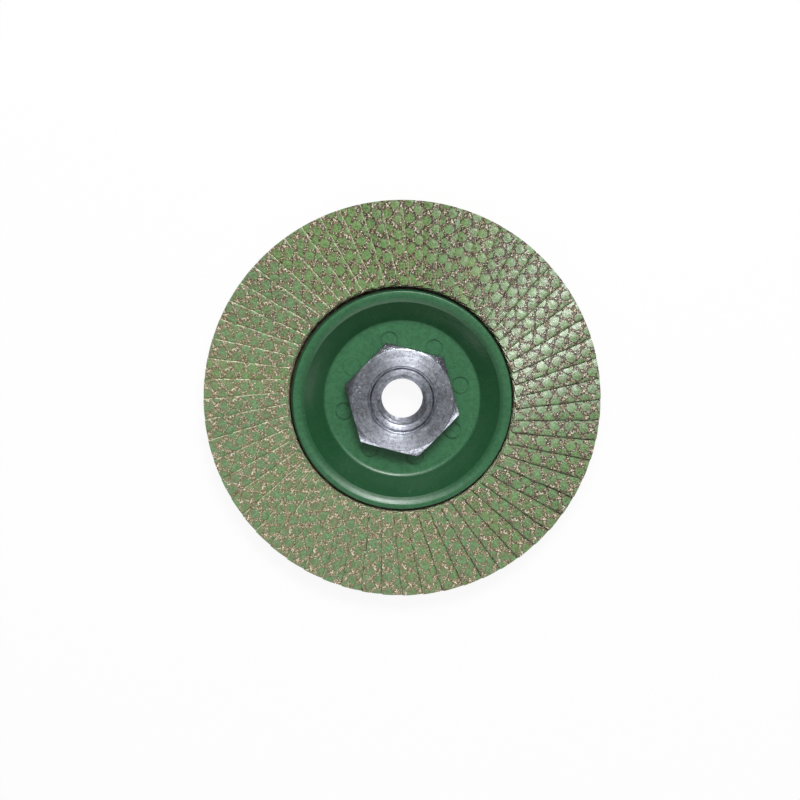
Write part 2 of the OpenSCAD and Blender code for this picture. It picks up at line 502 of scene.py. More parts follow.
def spokes(tree, place, scale):
    """A vector that changes quickly round the axis and slowly outwards, for radial streaks."""
    flat = vector_calc(tree, "MULTIPLY", place, (1, 1, 0))
    heading = vector_calc(tree, "NORMALIZE", flat)
    slow = vector_calc(tree, "SCALE", place)
    slow.node.inputs["Scale"].default_value = scale
    return vector_calc(tree, "ADD", heading, slow)


def bump(tree, height, distance, strength=1.0, normal=None):
    """The normal of a surface raised by height times distance."""
    inputs = {"Height": height, "Distance": distance, "Strength": strength}
    if normal is not None:
        inputs["Normal"] = normal
    return put(tree, "ShaderNodeBump", inputs).outputs["Normal"]


# Materials -----------------------------------------------------------------------------------------


def dot_distance(tree, place, pattern):
    """Distance in metres from the centre of the nearest dot, in a lattice whose rows alternate."""
    period = (pattern.pitch, 2 * pattern.row, 1)
    distances = []
    for shift in ((0, 0, 0), (pattern.pitch / 2, pattern.row, 0)):
        moved = vector_calc(tree, "ADD", place, shift)
        high = tuple(p / 2 for p in period)
        low = tuple(-p / 2 for p in period)
        wrapped = put(tree, "ShaderNodeVectorMath", {0: moved, 1: high, 2: low}, operation="WRAP")
        far = put(tree, "ShaderNodeVectorMath", {0: wrapped.outputs["Vector"]}, operation="LENGTH")
        distances.append(far.outputs["Value"])
    return calc(tree, "MINIMUM", *distances)


def diamond_cloth(pattern):
    """Grinding face: smooth green resin dots in a network of many-coloured diamond grit."""
    material, tree, shader = new_material("diamond_cloth", {"IOR": 1.5, "Coat Roughness": 0.25})
    place = put(tree, "ShaderNodeUVMap", uv_map="cloth").outputs["UV"]
    tint = put(tree, "ShaderNodeAttribute", attribute_name="tint").outputs["Fac"]
    # pale is each flap's painted side light, also used for how ragged the dots and how even the grit are
    pale = put(tree, "ShaderNodeAttribute", attribute_name="pale").outputs["Fac"]

    cells = put(tree, "ShaderNodeTexVoronoi", {"Vector": place, "Scale": 1 / pattern.grit, "Randomness": 1.0})
    pick = put(tree, "ShaderNodeSeparateColor", {"Color": cells.outputs["Color"]})

    # Outline of the dots, ragged because whole grains stick in or out
    wobble = put(tree, "ShaderNodeTexNoise", {"Vector": place, "Scale": 760.0, "Detail": 1.0})
    shift = vector_calc(tree, "SUBTRACT", wobble.outputs["Color"], (0.5, 0.5, 0.5))
    shift = vector_calc(tree, "SCALE", shift)
    shift.node.inputs["Scale"].default_value = 0.95 * MM
    far = dot_distance(tree, vector_calc(tree, "ADD", place, shift), pattern)
    fuzzy = fade(tree, pale, 1.0, 1.7)
    ragged = fade(tree, fuzzy, 0, 1, 0.34 * MM, 0.9 * MM, smooth=False)
    ragged = calc(tree, "MULTIPLY", calc(tree, "SUBTRACT", pick.outputs["Green"], 0.5), ragged)
    far = calc(tree, "ADD", far, ragged)
    size_noise = put(tree, "ShaderNodeTexNoise", {"Vector": place, "Scale": 190.0, "Detail": 2.0})
    size = fade(tree, size_noise.outputs["Fac"], 0.3, 0.7, -0.22 * MM, 0.26 * MM, smooth=False)
    far = calc(tree, "ADD", far, size)
    dot = fade(tree, far, pattern.dot_r + 0.05 * MM, pattern.dot_r - 0.07 * MM)
    rim = fade(tree, far, pattern.dot_r + 0.42 * MM, pattern.dot_r + 0.05 * MM)

    # Grains of grit, each with its own colour, darker where they meet
    grains = ramp(
        tree,
        pick.outputs["Red"],
        [
            (0.0, (0.02, 0.014, 0.008)),
            (0.14, (0.07, 0.04, 0.02)),
            (0.28, (0.28, 0.18, 0.09)),
            (0.42, (0.27, 0.33, 0.19)),
            (0.54, (0.56, 0.43, 0.26)),
            (0.66, (0.48, 0.52, 0.36)),
            (0.78, (0.8, 0.68, 0.47)),
            (0.88, (0.95, 0.88, 0.7)),
            (1.0, (1.0, 0.99, 0.94)),
        ],
    )
    between = fade(tree, cells.outputs["Distance"], 0.4, 0.7)
    grains = blend_colours(tree, between, grains, rgba(pattern.resin))
    veins = put(
        tree,
        "ShaderNodeTexVoronoi",
        {"Vector": place, "Scale": 0.27 / pattern.grit},
        feature="DISTANCE_TO_EDGE",
    )
    vein = fade(tree, veins.outputs["Distance"], 0.14, 0.05, 0, 0.7)
    vein = calc(tree, "MULTIPLY", vein, fade(tree, fuzzy, 0, 1, 1, 0.25, smooth=False))
    grains = blend_colours(tree, vein, grains, (0.3, 0.2, 0.12, 1), "MULTIPLY")
    brown = put(tree, "ShaderNodeTexNoise", {"Vector": place, "Scale": 420.0, "Detail": 2.0})
    patch = fade(tree, brown.outputs["Fac"], 0.45, 0.75, 0, 0.35)
    grains = blend_colours(tree, patch, grains, (0.36, 0.24, 0.15, 1), "MULTIPLY")
    dark = calc(tree, "MULTIPLY", rim, fade(tree, pick.outputs["Blue"], 0.25, 0.45, 0.25, 0.9))
    grains = blend_colours(tree, dark, grains, (0.26, 0.15, 0.1, 1), "MULTIPLY")

    even = calc(tree, "MULTIPLY", fuzzy, 0.42)
    grains = blend_colours(tree, even, grains, (0.17, 0.14, 0.08, 1))
    # Painted light: the grit is scaled by the flap's pale value, lighter on one side of the ring
    grains = vector_calc(tree, "SCALE", grains)
    tree.links.new(pale, grains.node.inputs["Scale"])

    # Resin of the dots, with stray grains in it
    green = blend_colours(tree, tint, rgba(pattern.dot_green), rgba(pattern.dot_yellow))
    mottle = put(tree, "ShaderNodeTexNoise", {"Vector": place, "Scale": 1400.0, "Detail": 3.0})
    light = fade(tree, mottle.outputs["Fac"], 0.3, 0.7, 0.78, 1.28, smooth=False)
    green = vector_calc(tree, "SCALE", green)
    # Painted light: the dots are lighter on that same side of the ring
    light = calc(tree, "MULTIPLY", light, fade(tree, pale, 0.8, 1.8, 0.95, 1.38, smooth=False))
    tree.links.new(light, green.node.inputs["Scale"])
    crowd = fade(tree, size_noise.outputs["Fac"], 0.35, 0.68, 0.95, 0.5)
    crowd = calc(tree, "SUBTRACT", crowd, calc(tree, "MULTIPLY", fuzzy, 0.13))
    stray = calc(tree, "GREATER_THAN", pick.outputs["Blue"], crowd)
    stray = calc(tree, "MULTIPLY", stray, 0.65)
    green = blend_colours(tree, stray, green, grains)

    colour_out = blend_colours(tree, dot, grains, green)
    tree.links.new(colour_out, shader.inputs["Base Color"])

    facets = fade(tree, pick.outputs["Blue"], 0, 1, 0.22, 0.75, smooth=False)
    smooth_resin = fade(tree, mottle.outputs["Fac"], 0.3, 0.7, 0.2, 0.32, smooth=False)
    rough = put(tree, "ShaderNodeMix", {0: dot, 2: facets, 3: smooth_resin}, data_type="FLOAT").outputs[0]
    tree.links.new(rough, shader.inputs["Roughness"])

    peak = calc(tree, "MULTIPLY", pick.outputs["Green"], fade(tree, cells.outputs["Distance"], 0.8, 0.1))
    grit_height = calc(tree, "MULTIPLY", peak, calc(tree, "SUBTRACT", 1.0, dot))
    dome = fade(tree, far, pattern.dot_r, 0, 0, 0.5)
    dot_height = calc(tree, "ADD", calc(tree, "MULTIPLY", mottle.outputs["Fac"], 0.12), dome)
    height = calc(tree, "ADD", grit_height, calc(tree, "MULTIPLY", dot_height, dot))
    tree.links.new(bump(tree, height, 0.1 * MM, 0.8), shader.inputs["Normal"])
    return material


def cut_edge(pattern):
    """Edge where the cloth was cut: pale threads between brown resin."""
    material, tree, shader = new_material("cut_cloth_edge", {"Roughness": 0.7})
    place = put(tree, "ShaderNodeUVMap", uv_map="cloth").outputs["UV"]
    long = vector_calc(tree, "MULTIPLY", place, (1, 1.6, 1))
    threads = put(tree, "ShaderNodeTexNoise", {"Vector": long, "Scale": 1300.0, "Detail": 4.0})
    shade = ramp(
        tree,
        threads.outputs["Fac"],
        [
            (0.3, tinted(pattern.backing, 0.5)),
            (0.42, tinted(pattern.edge, 0.6)),
            (0.5, pattern.edge[:]),
            (0.6, tinted(pattern.edge, 1.5)),
        ],
    )
    frayed = put(tree, "ShaderNodeTexNoise", {"Vector": place, "Scale": 330.0, "Detail": 2.0})
    frayed = fade(tree, frayed.outputs["Fac"], 0.34, 0.5)
    shade = blend_colours(tree, frayed, rgba(tinted(pattern.backing, 0.5)), shade)
    tree.links.new(shade, shader.inputs["Base Color"])
    tree.links.new(bump(tree, threads.outputs["Fac"], 0.12 * MM), shader.inputs["Normal"])
    return material


def backing_weave(pattern):
    """Woven back of the cloth, filled with resin."""
    material, tree, shader = new_material("backing_weave", {"Roughness": 0.75, "Sheen Weight": 0.15})
    place = put(tree, "ShaderNodeUVMap", uv_map="cloth").outputs["UV"]
    axes = put(tree, "ShaderNodeSeparateXYZ", {"Vector": place})
    thread = TURN / (0.55 * MM)
    warp = calc(tree, "SINE", calc(tree, "MULTIPLY", axes.outputs["X"], thread))
    weft = calc(tree, "SINE", calc(tree, "MULTIPLY", axes.outputs["Y"], thread))
    weave = fade(tree, calc(tree, "MULTIPLY", warp, weft), -1, 1)
    fuzz = put(tree, "ShaderNodeTexNoise", {"Vector": place, "Scale": 1800.0, "Detail": 3.0})
    soft_weave = calc(tree, "MULTIPLY", weave, 0.6)
    both = calc(tree, "ADD", soft_weave, calc(tree, "MULTIPLY", fuzz.outputs["Fac"], 0.5))
    shade = ramp(
        tree,
        both,
        [
            (0.2, tinted(pattern.backing, 0.5)),
            (0.55, pattern.backing[:]),
            (0.85, tinted(pattern.backing, 1.6)),
        ],
    )
    tree.links.new(shade, shader.inputs["Base Color"])
    tree.links.new(bump(tree, both, 0.12 * MM), shader.inputs["Normal"])
    return material


def moulded_plastic(plate):
    """Injection-moulded green plastic with radial flow lines and hairline scratches; its level faces are
    painted paler and its slopes darker, as painted light and shade.
    """
    material, tree, shader = new_material("moulded_green_plastic", {"IOR": 1.45})
    place = object_place(tree)
    long = spokes(tree, place, 18)
    streaks = put(tree, "ShaderNodeTexNoise", {"Vector": long, "Scale": 14.0, "Detail": 5.0})
    clouds = put(tree, "ShaderNodeTexNoise", {"Vector": place, "Scale": 90.0, "Detail": 4.0})
    both = calc(tree, "ADD", streaks.outputs["Fac"], clouds.outputs["Fac"])
    # Painted light and shade: faces that lie level turn paler, steeper faces keep the darker green
    surface = put(tree, "ShaderNodeNewGeometry")
    facing = put(tree, "ShaderNodeSeparateXYZ", {"Vector": surface.outputs["Normal"]})
    level = fade(tree, facing.outputs["Z"], 0.82, 0.97)
    base = blend_colours(tree, level, rgba(plate.green), rgba(plate.level_light_green))
    shade = vector_calc(tree, "SCALE", base)
    tree.links.new(fade(tree, both, 0.7, 1.3, 0.95, 1.06, smooth=False), shade.node.inputs["Scale"])
    grain = use_group(
        tree,
        speckle_group(),
        {
            "Vector": place,
            "Scale": 2600.0,
            "Amount": 0.35,
            "Colour": shade,
            "Second Colour": rgba(tinted(plate.green, 0.72)),
        },
    )
    hairs = use_group(tree, scratch_group(), {"Vector": place, "Scale": 105.0, "Width": 0.012})
    pale = tuple(0.35 * c + 0.16 for c in plate.green)
    faint = calc(tree, "MULTIPLY", hairs.outputs["Mask"], 0.12)
    shade = blend_colours(tree, faint, grain.outputs["Colour"], rgba(pale))
    tree.links.new(shade, shader.inputs["Base Color"])
    rough = fade(tree, both, 0.7, 1.3, 0.22, 0.28, smooth=False)
    tree.links.new(rough, shader.inputs["Roughness"])
    height = calc(tree, "ADD", calc(tree, "MULTIPLY", streaks.outputs["Fac"], 0.08), grain.outputs["Mask"])
    height = calc(tree, "SUBTRACT", height, calc(tree, "MULTIPLY", hairs.outputs["Mask"], 0.3))
    tree.links.new(bump(tree, height, 0.012 * MM, 0.8), shader.inputs["Normal"])
    return material


def zinc_plate(hub, name, turned_on_lathe):
    """Zinc-plated steel with dull patches; lathe marks, where it has them, draw the highlight out."""
    settings = {"Metallic": 1.0}
    if turned_on_lathe:
        settings.update({"Anisotropic": 0.9, "Anisotropic Rotation": 0.25})
    material, tree, shader = new_material(name, settings)
    place = object_place(tree)
    mottle = use_group(
        tree,
        speckle_group(),
        {
            "Vector": place,
            "Scale": 3500.0,
            "Amount": 0.66,
            "Colour": rgba(hub.steel),
            "Second Colour": rgba(hub.dull),
        },
    )

    # Marks of the lathe: they change quickly outwards and slowly round the axis
    flat = vector_calc(tree, "MULTIPLY", place, (1, 1, 0))
    radius = put(tree, "ShaderNodeVectorMath", {0: flat}, operation="LENGTH").outputs["Value"]
    outwards = put(tree, "ShaderNodeCombineXYZ", {"Z": calc(tree, "MULTIPLY", radius, 1500)})
    heading = vector_calc(tree, "NORMALIZE", flat)
    tilted = vector_calc(tree, "MULTIPLY", heading, (2.2, 2.2, 0))
    lathe = vector_calc(tree, "ADD", tilted, outwards.outputs[0])
    marks = put(tree, "ShaderNodeTexNoise", {"Vector": lathe, "Scale": 1.0, "Detail": 4.0}).outputs["Fac"]

    hairs = use_group(tree, scratch_group(), {"Vector": place, "Scale": 260.0, "Width": 0.02})
    shade = blend_colours(tree, hairs.outputs["Mask"], mottle.outputs["Colour"], rgba(tinted(hub.steel, 1.4)))
    shade = vector_calc(tree, "SCALE", shade)
    tree.links.new(fade(tree, marks, 0.3, 0.7, 0.78, 1.2, smooth=False), shade.node.inputs["Scale"])
    tree.links.new(shade, shader.inputs["Base Color"])
    worn = calc(tree, "ADD", calc(tree, "MULTIPLY", mottle.outputs["Mask"], 0.5), marks)
    rough = (0.28, 0.42) if turned_on_lathe else (0.1, 0.22)
    tree.links.new(fade(tree, worn, 0.3, 1.2, *rough, smooth=False), shader.inputs["Roughness"])
    groove = put(
        tree, "ShaderNodeTexNoise", {"W": radius, "Scale": 3600.0, "Detail": 3.0}, noise_dimensions="1D"
    )
    height = calc(tree, "ADD", groove.outputs["Fac"], calc(tree, "MULTIPLY", mottle.outputs["Mask"], 0.4))
    dents = put(tree, "ShaderNodeTexNoise", {"Vector": place, "Scale": 3100.0, "Detail": 2.0})
    deep = 3.4 if turned_on_lathe else 1.2
    height = calc(tree, "ADD", height, fade(tree, dents.outputs["Fac"], 0.6, 0.74, 0, deep))
    tree.links.new(bump(tree, height, 0.014 * MM, 0.9), shader.inputs["Normal"])
    if turned_on_lathe:
        around = put(tree, "ShaderNodeTangent", direction_type="RADIAL", axis="Z")
        tree.links.new(around.outputs["Tangent"], shader.inputs["Tangent"])
    return material


def steel_materials(hub):
    """The two finishes of the steel pieces, made once: turned faces, and milled or drawn sides."""
    names = (("turned_zinc_plate", True), ("milled_zinc_plate", False))
    return [bpy.data.materials.get(name) or zinc_plate(hub, name, lathe) for name, lathe in names]


def cured_adhesive(plate):
    """Brown epoxy that squeezed out and set, made near-black so that it also paints shade in the gap between
    the lip and the flaps.
    """
    material, tree, shader = new_material("cured_adhesive", {"Roughness": 0.35})
    place = object_place(tree)
    lumps = use_group(
        tree,
        speckle_group(),
        {
            "Vector": place,
            "Scale": 700.0,
            "Amount": 0.8,
            "Colour": rgba(plate.glue_and_gap_shade),
            "Second Colour": rgba(tinted(plate.glue_and_gap_shade, 0.4)),
        },
    )
    tree.links.new(lumps.outputs["Colour"], shader.inputs["Base Color"])
    tree.links.new(bump(tree, lumps.outputs["Mask"], 0.1 * MM), shader.inputs["Normal"])
    return material


# Pieces --------------------------------------------------------------------------------------------


class FlapShape:
    """One flap as a surface over s, the way along it, and w, the way across from its glued edge."""

    def __init__(self, sizes, pattern, turn, rng):
        self.sizes = sizes
        self.pattern = pattern
        self.width = (sizes.free + sizes.glued) / math.cos(sizes.lean)
        self.run = sizes.disc_r - sizes.inner
        self.droop_outer = sizes.droop_outer * rng.uniform(0.85, 1.05)
        self.droop_inner = sizes.droop_inner * rng.uniform(0.6, 1.0)
        self.offset = rng.uniform(0, 1, 2) * (pattern.pitch, 2 * pattern.row)
        self.skew = rng.normal(0, 0.012)
        self.tint = float(np.clip(0.5 + 0.3 * math.cos(turn - 1) + rng.normal(0, 0.12), 0, 1))
        # Painted light: pale makes the grit and dots lighter on the flaps towards the lower left of the ring
        # and darker towards the upper right; it also sets how ragged the dots and how even the grit are
        self.pale = 1.42 - 0.5 * math.cos(turn - 0.9) + rng.normal(0, 0.05)
        late = max(0, math.cos(turn - LATE_TURN))
        early = 0.5 + 0.5 * math.cos(turn - LEDGE_TURN)
        self.start = LATE_START * late - EARLY_START * early
        self.jag = rng.uniform(0, TURN, 4)
        self.rng = rng

    def droop(self, s, w):
        """How far the cloth hangs below a flat flap at (s, w)."""
        along = np.clip(s / self.run, 0, 1)
        deep = self.droop_inner + (self.droop_outer - self.droop_inner) * along
        bend = self.sizes.bend_inner + (self.sizes.bend_outer - self.sizes.bend_inner) * along
        over = np.clip((w - self.width + bend) / bend, 0, 1)
        return deep * over**2

    def cloth(self, s, w):
        """Place on the cloth's pattern, in metres."""
        x = s + self.skew * w + self.offset[0]
        y = w - self.skew * s + self.offset[1]
        return np.stack([x, y], -1)

    def dots(self, s, w):
        """1 inside a smooth dot, 0 in the grit."""
        period = np.array([self.pattern.pitch, 2 * self.pattern.row])
        at = self.cloth(s, w)
        far = [
            np.linalg.norm((at + shift + period / 2) % period - period / 2, axis=-1)
            for shift in (np.zeros(2), period / 2)
        ]
        edge = 0.25 * MM
        return np.clip((self.pattern.dot_r + edge / 2 - np.minimum(*far)) / edge, 0, 1)

    def place(self, s, w, h):
        """Point of the flap at the disc's own place, before it is turned to its own angle."""
        z = self.sizes
        h = h - self.droop(s, w)
        across = w * math.cos(z.lean) - h * math.sin(z.lean)
        up = w * math.sin(z.lean) + h * math.cos(z.lean)
        out = z.inner - z.root_r + s
        x = z.root_r + out * math.cos(z.fall) + up * math.sin(z.fall)
        y = z.glued - across
        return np.stack([x, y, z.root_z - out * math.sin(z.fall) + up * math.cos(z.fall)], -1)

    def reach(self, w, h):
        """Length of the flap at w, from its inner end to the circle that it is trimmed to."""
        s = np.full(np.shape(w), self.run)
        for _ in range(4):
            point = self.place(s, w, h)
            s = s + np.sqrt(self.sizes.disc_r**2 - point[..., 1] ** 2) - point[..., 0]
        return s


def strip_between(upper, lower):
    """Triangles between two rows of vertices that run the same way, each [(position, index), ...]."""
    faces = []
    i = j = 0
    while i < len(upper) - 1 or j < len(lower) - 1:
        take_upper = j == len(lower) - 1 or (i < len(upper) - 1 and upper[i + 1][0] <= lower[j + 1][0])
        if take_upper:
            faces.append((upper[i][1], upper[i + 1][1], lower[j][1]))
            i += 1
        else:
            faces.append((upper[i][1], lower[j + 1][1], lower[j][1]))
            j += 1
    return faces


def flap_mesh(shape):
    """Closed mesh of one flap: (vertices, pattern places, faces, face materials)."""
    sizes, rng = shape.sizes, shape.rng
    hidden = np.array([0, 0.17, 0.34]) * shape.width
    fine = np.arange(0.46 * shape.width, shape.width - sizes.edge_round, sizes.step)
    round_steps = np.radians([90, 60, 30, 0])
    edge_w = shape.width - sizes.edge_round * (1 - np.cos(round_steps))
    edge_h = sizes.thickness - sizes.edge_round * (1 - np.sin(round_steps))
    top_w = np.concatenate([hidden, fine, edge_w])
    top_h = np.concatenate([np.full(len(hidden) + len(fine), sizes.thickness), edge_h])
    low_w = np.concatenate([[shape.width], np.linspace(0.96, 0, 7) * shape.width])
    loop_w = np.concatenate([top_w, low_w])
    loop_h = np.concatenate([top_h, np.zeros(len(low_w))])
    rows = int(shape.run / sizes.step) + 1
    part = np.linspace(0, 1, rows)[:, None]
    start = 0.06 * MM * (np.sin(loop_w / MM * 1.3 + shape.jag[0]) + np.sin(loop_w / MM * 3.1 + shape.jag[1]))
    start = start - start.min() + shape.start
    s = start + (shape.reach(loop_w, loop_h) - start) * part
    w = np.broadcast_to(loop_w, s.shape).copy()
    h = np.broadcast_to(loop_h, s.shape).copy()

    # Grit stands above the dots on the face, and the free edge wanders a little
    face = slice(len(hidden), len(top_w) - len(edge_w) + 1)
    grit = shape.pattern.relief * rng.uniform(0.15, 1, s[:, face].shape)
    smooth = shape.dots(s[:, face], w[:, face])
    dome = 0.35 * shape.pattern.relief * smooth
    h[:, face] += grit * (1 - smooth) + dome
    wander = 0.05 * MM * np.sin(s / MM * 0.55 + shape.jag[2])
    wander = wander + 0.03 * MM * np.sin(s / MM * 1.9 + shape.jag[3])
    wander = wander + rng.normal(0, 0.018 * MM, (rows, 1))
    w += wander * np.clip((w - 0.8 * shape.width) / (0.2 * shape.width), 0, 1)

    points = shape.place(s, w, h)
    last = points[-1]
    last[:, :2] *= (sizes.disc_r / np.linalg.norm(last[:, :2], axis=1))[:, None]
    m = len(loop_w)
    i, j = np.meshgrid(np.arange(rows - 1), np.arange(m), indexing="ij")
    k = (j + 1) % m
    quads = np.stack([i * m + j, i * m + k, (i + 1) * m + k, (i + 1) * m + j], -1).reshape(-1, 4)
    kind = np.zeros(m, int)
    kind[len(top_w) - 2 :] = 1
    kind[len(top_w) :] = 2
    kind[-1] = 1
    kinds = np.broadcast_to(kind, (rows - 1, m)).reshape(-1)

    ends = []
    for row, flip in ((0, True), (rows - 1, False)):
        upper = [(loop_w[q], row * m + q) for q in range(len(top_w))]
        lower = [(loop_w[q], row * m + q) for q in range(m - 1, len(top_w) - 1, -1)]
        faces = strip_between(upper, lower)
        ends += [f[::-1] if flip else f for f in faces]
    faces = quads.tolist() + ends
    kinds = np.concatenate([kinds, np.ones(len(ends), int)])
    across = w + np.where(np.arange(m) >= len(top_w), 0.4 * MM, 0)
    places = shape.cloth(s, across + h).reshape(-1, 2)
    return points.reshape(-1, 3), places, faces, kinds


def turned(points, turn):
    """Points turned about the disc's axis."""
    c, s = math.cos(turn), math.sin(turn)
    x, y, z = points.T
    return np.stack([c * x - s * y, s * x + c * y, z], 1)


class FLAPDISC_OT_flaps(bpy.types.Operator):
    """Makes the ring of overlapping diamond cloth flaps, two to a piece"""

    bl_idname = "flap_disc.flaps"
    bl_label = "Flaps"

    def execute(self, context):
        sizes, pattern = context.scene.flap_sizes, context.scene.cloth_pattern
        materials = [diamond_cloth(pattern), cut_edge(pattern), backing_weave(pattern)]
        rng = np.random.default_rng(7)
        for pair in range(sizes.count // 2):
            verts, places, faces, kinds, tints, painted_side_lights = [], [], [], [], [], []
            base = 0
            for k in (0, 1):
                turn = sizes.phase + (2 * pair + k) * TURN / sizes.count
                shape = FlapShape(sizes, pattern, turn, rng)
                points, cloth, own_faces, own_kinds = flap_mesh(shape)
                points = turned(points, turn)
                verts.append(points)
                places.append(cloth)
                faces += [[v + base for v in face] for face in own_faces]
                kinds.append(own_kinds)
                tints.append(np.full(len(points), shape.tint))
                painted_side_lights.append(np.full(len(points), shape.pale))
                base += len(points)
            name = f"flap_pair_{pair + 1:02d}"
            piece = make_piece(
                f"cloth_{name}", np.concatenate(verts), faces, materials, np.concatenate(kinds), 50
            )
            self.add_places(piece.data, np.concatenate(places), tint=tints, pale=painted_side_lights)
            settle(piece, "diamond_cloth", name)
        return {"FINISHED"}

    @staticmethod
    def add_places(mesh, places, **shades):
        """Stores each vertex's place on the cloth, and each flap's own tint and painted side light."""
        corners = np.empty(len(mesh.loops), np.int32)
        mesh.loops.foreach_get("vertex_index", corners)
        layer = mesh.uv_layers.new(name="cloth")
        layer.uv.foreach_set("vector", places[corners].astype(np.float32).ravel())
        for name, values in shades.items():
            attribute = mesh.attributes.new(name, "FLOAT", "POINT")
            attribute.data.foreach_set("value", np.concatenate(values).astype(np.float32))


class FLAPDISC_OT_backing_plate(bpy.types.Operator):
    """Makes the dished backing plate with its lip, ejector pin marks and rear ribs"""

    bl_idname = "flap_disc.backing_plate"
    bl_label = "Backing plate"

    def execute(self, context):
        plate, hub = context.scene.plate_sizes, context.scene.hub_sizes
        sizes, material = context.scene.flap_sizes, moulded_plastic(plate)
        angles = even_angles(240)
        ledges = LEDGE_MEAN - LEDGE_SWING * np.cos(angles - LEDGE_TURN)
        verts, faces = ring_of(np.array([self.outline(plate, hub, sizes, ledge) for ledge in ledges]), angles)
        piece = make_piece("moulded_backing_plate", verts, faces, [material])
        for rib in range(plate.ribs):
            boolean(piece, self.rib(plate, hub, sizes, (rib + 0.5) * TURN / plate.ribs), "UNION")
        for r in (42 * MM, plate.plate_r - plate.rib_t):
            boolean(piece, self.rib_ring(plate, sizes, r), "UNION")
        for mark in range(plate.marks):
            boolean(piece, *self.mark(plate, mark))
        split_and_clean(piece)
        piece.data.shade_smooth()
        piece.data.set_sharp_from_angle(angle=math.radians(28))
        weighted = piece.modifiers.new("even shading", "WEIGHTED_NORMAL")
        weighted.keep_sharp = True
        settle(piece, "moulded_plastic", "backing_plate")
        return {"FINISHED"}

    @staticmethod
    def front(plate, sizes, r):
        """Height of the front face under the flaps."""
        return plate.bed_z - (r - plate.lip_r) * math.tan(sizes.fall)

    def back(self, plate, sizes, r):
        """Height of the rear face under the flaps."""
        return self.front(plate, sizes, r) - plate.wall

    @staticmethod
    def slope(plate):
        """Angle of the dish's wall."""
        return math.atan2(plate.lip_z - 0.6 * MM - plate.floor_z, plate.lip_inner_r - plate.floor_r)

    def slope_back_r(self, plate, z):
        """Radius of the rear of the dish's wall at a height."""
        slope = self.slope(plate)
        return plate.floor_r + (z - plate.floor_z) / math.tan(slope) + plate.wall / math.sin(slope)

    def slope_back_z(self, plate, r):
        """Height of the rear of the dish's wall at a radius."""
        slope = self.slope(plate)
        return plate.floor_z + (r - plate.floor_r - plate.wall / math.sin(slope)) * math.tan(slope)

    def outline(self, plate, hub, sizes, ledge):
        """Half section of the moulding as a closed (r, z) outline, with a ledge under its lip."""
        pocket_r, boss_r = hub.washer_r + 0.3 * MM, hub.washer_r + BOSS_WALL
        key_r = hub.shank_af / 2 / math.cos(math.pi / 6) + 0.1 * MM
        hollow_r, hollow_z = plate.lip_r - plate.wall, plate.lip_z - HOLLOW_DROP
        ledge_r, lip_wall_r, top = plate.lip_r + ledge, plate.lip_r + 0.02 * MM, plate.lip_z
        soft, boss_z = 0.4 * MM, 0.5 * MM
        return rounded(
            [
                (key_r, hub.washer_t, 0),
                (pocket_r, hub.washer_t, 0.15 * MM),
                (pocket_r, boss_z, 0.3 * MM),
                (boss_r, boss_z, soft),
                (boss_r, self.slope_back_z(plate, boss_r), soft),
                (self.slope_back_r(plate, hollow_z), hollow_z, soft),
                (hollow_r, hollow_z, soft),
                (hollow_r, self.back(plate, sizes, hollow_r), soft),
                (plate.plate_r, self.back(plate, sizes, plate.plate_r), soft),
                (plate.plate_r, self.front(plate, sizes, plate.plate_r), soft),
                (plate.lip_r, self.front(plate, sizes, plate.lip_r), 0),
                (plate.lip_r, top - 2.4 * MM, 0),
                (ledge_r, top - 2.1 * MM, 0),
                (ledge_r, top - 0.8 * MM, 0.15 * MM),
                (lip_wall_r, top - 0.64 * MM, 0),
                (lip_wall_r, top - 0.12 * MM, 0.5 * MM),
                (plate.lip_r - 1.15 * MM, top - 0.03 * MM, 1.8 * MM),
                (plate.lip_r - 2.35 * MM, top - 0.44 * MM, 7 * MM),
                (plate.lip_inner_r, top - 1.0 * MM, 0.22 * MM),
                (plate.floor_r, plate.floor_z, 2.5 * MM),
                (key_r, plate.floor_z, 0),
            ],
            steps=8,
        )

    def rib(self, plate, hub, sizes, turn):
        """One radial rib, sunk into the back of the plate."""
        boss_r, bury, low = hub.washer_r + BOSS_WALL, RIB_ROOT, RIB_Z
        hollow_r, hollow_z = plate.lip_r - plate.wall, plate.lip_z - HOLLOW_DROP
        end_r = plate.plate_r - plate.rib_t
        side = [
            (boss_r - bury, low),
            (end_r, low),
            (end_r, self.back(plate, sizes, end_r) + bury),
            (hollow_r + bury, self.back(plate, sizes, hollow_r) + bury),
            (hollow_r + bury, hollow_z + bury),
            (self.slope_back_r(plate, hollow_z), hollow_z + bury),
            (boss_r - bury, self.slope_back_z(plate, boss_r)),
        ]
        n = len(side)
        half = plate.rib_t / 2
        points = np.array([(r, y, z) for y in (-half, half) for r, z in side])
        faces = [list(range(n)), list(range(2 * n - 1, n - 1, -1))]
        faces += [[i, i + n, (i + 1) % n + n, (i + 1) % n] for i in range(n)]
        return make_piece("rib", turned(points, turn), faces, [])

    def rib_ring(self, plate, sizes, r):
        """A round rib behind the plate."""
        low, half = RIB_Z, plate.rib_t / 2
        high = self.back(plate, sizes, r) + RIB_ROOT
        verts, faces = ring_of(
            np.array([(r - half, low), (r + half, low), (r + half, high), (r - half, high)]), even_angles(240)
        )
        return make_piece("rib_ring", verts, faces, [])

